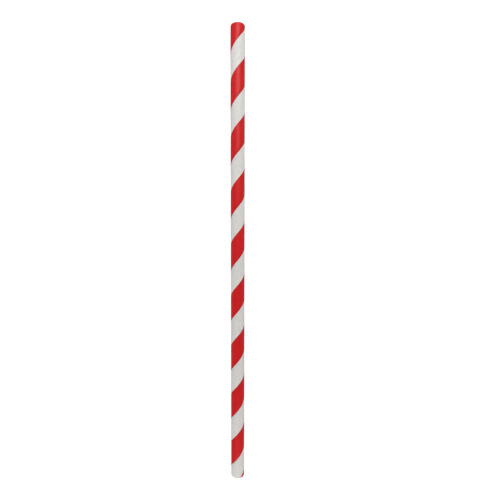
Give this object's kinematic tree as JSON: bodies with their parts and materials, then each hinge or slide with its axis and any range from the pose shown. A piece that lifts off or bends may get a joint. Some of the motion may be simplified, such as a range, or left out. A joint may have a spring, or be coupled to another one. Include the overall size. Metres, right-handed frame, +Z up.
{
  "type": "paper drinking straw",
  "caption": "Straight paper drinking straw, a spirally wound and glued tube with a round bore and red and white spiral stripes.",
  "frame": {"origin": "on the surface that the straw lies on, under the middle of its length", "axes": "+Y along the straw, towards the end with the full red stripe; +Z up"},
  "size_m": [0.006, 0.197, 0.006],
  "materials": {
    "striped_paper": "smooth uncoated paper printed with red spiral stripes on white"
  },
  "bodies": {
    "root": {"straw_tube": "striped_paper"}
  },
  "joints": []
}
